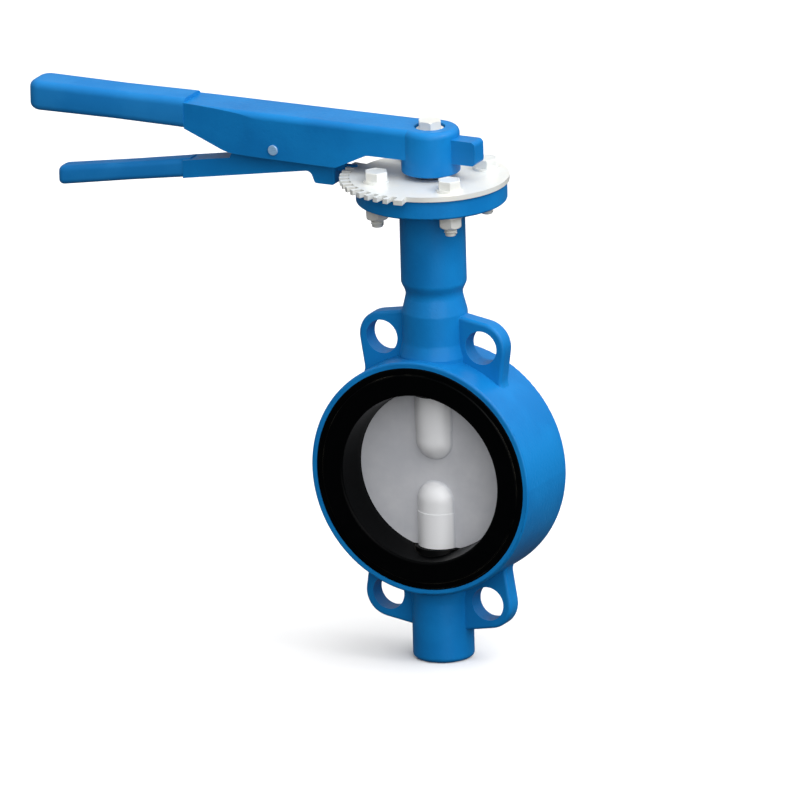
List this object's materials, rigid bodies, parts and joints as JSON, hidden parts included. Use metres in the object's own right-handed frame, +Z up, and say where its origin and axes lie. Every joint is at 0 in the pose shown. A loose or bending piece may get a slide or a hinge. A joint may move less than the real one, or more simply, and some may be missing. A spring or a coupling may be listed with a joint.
{
  "type": "butterfly valve",
  "caption": "Wafer butterfly valve with a rubber-lined ring, a round disc on a vertical stem, a notched plate and a lever handle with a squeeze trigger.",
  "frame": {"origin": "middle of the bore, where the pipe's axis meets the stem's axis", "axes": "+Z up the stem towards the handle, Y along the pipe, the handle points to -X with the disc shut"},
  "size_m": [0.3408, 0.1032, 0.3384],
  "materials": {
    "blue_paint": "semi-gloss coating over a casting",
    "blue_grip": "satin dip-moulded sleeve",
    "black_rubber": "smooth moulded rubber",
    "backing_resin": "moulded phenolic resin",
    "bush_plastic": "machined fluoropolymer",
    "gasket_fibre": "pressed fibre sheet",
    "cast_stainless": "fine-blasted cast stainless steel",
    "turned_stainless": "turned stainless steel",
    "pale_zinc": "bright zinc plate",
    "spring_steel": "oiled spring steel"
  },
  "bodies": {
    "housing": {"valve_body": "blue_paint", "seat_liner": "black_rubber", "seat_backing_ring": "backing_resin", "lower_neck_bush": "bush_plastic", "upper_neck_bush": "bush_plastic", "stem_o_rings": "black_rubber", "gland_ring": "bush_plastic", "bottom_bush": "bush_plastic", "bottom_o_ring": "black_rubber", "thrust_pad": "bush_plastic", "plug_gasket": "gasket_fibre", "bottom_plug": "pale_zinc", "notch_plate": "pale_zinc", "plate_bolts": "pale_zinc", "plate_washers": "pale_zinc", "flange_washers": "pale_zinc", "plate_nuts": "pale_zinc"},
    "turning_group": {"disc": "cast_stainless", "upper_stem": "turned_stainless", "lower_stem": "turned_stainless", "stem_circlip": "spring_steel", "lever_arm": "blue_paint", "lever_grip": "blue_grip", "handle_washer": "pale_zinc", "handle_bolt": "pale_zinc", "trigger_pin": "turned_stainless", "pin_clip": "spring_steel", "pivot_spacers": "turned_stainless", "trigger_spring": "spring_steel"},
    "trigger": {"trigger_lever": "blue_paint", "trigger_grip": "blue_grip"}
  },
  "joints": [
    {"name": "stem_turn", "type": "hinge", "parent": "housing", "child": "turning_group", "pos_m": [0, 0, 0], "axis": [0, 0, 1], "range_deg": [0, 90]},
    {"name": "trigger_squeeze", "type": "hinge", "parent": "turning_group", "child": "trigger", "pos_m": [-0.099, 0, 0.194], "axis": [0, 1, 0], "range_deg": [0, 8], "stiffness_Nm_per_rad": 3, "springref_deg": -20.05, "deforming": ["trigger_spring"]}
  ]
}
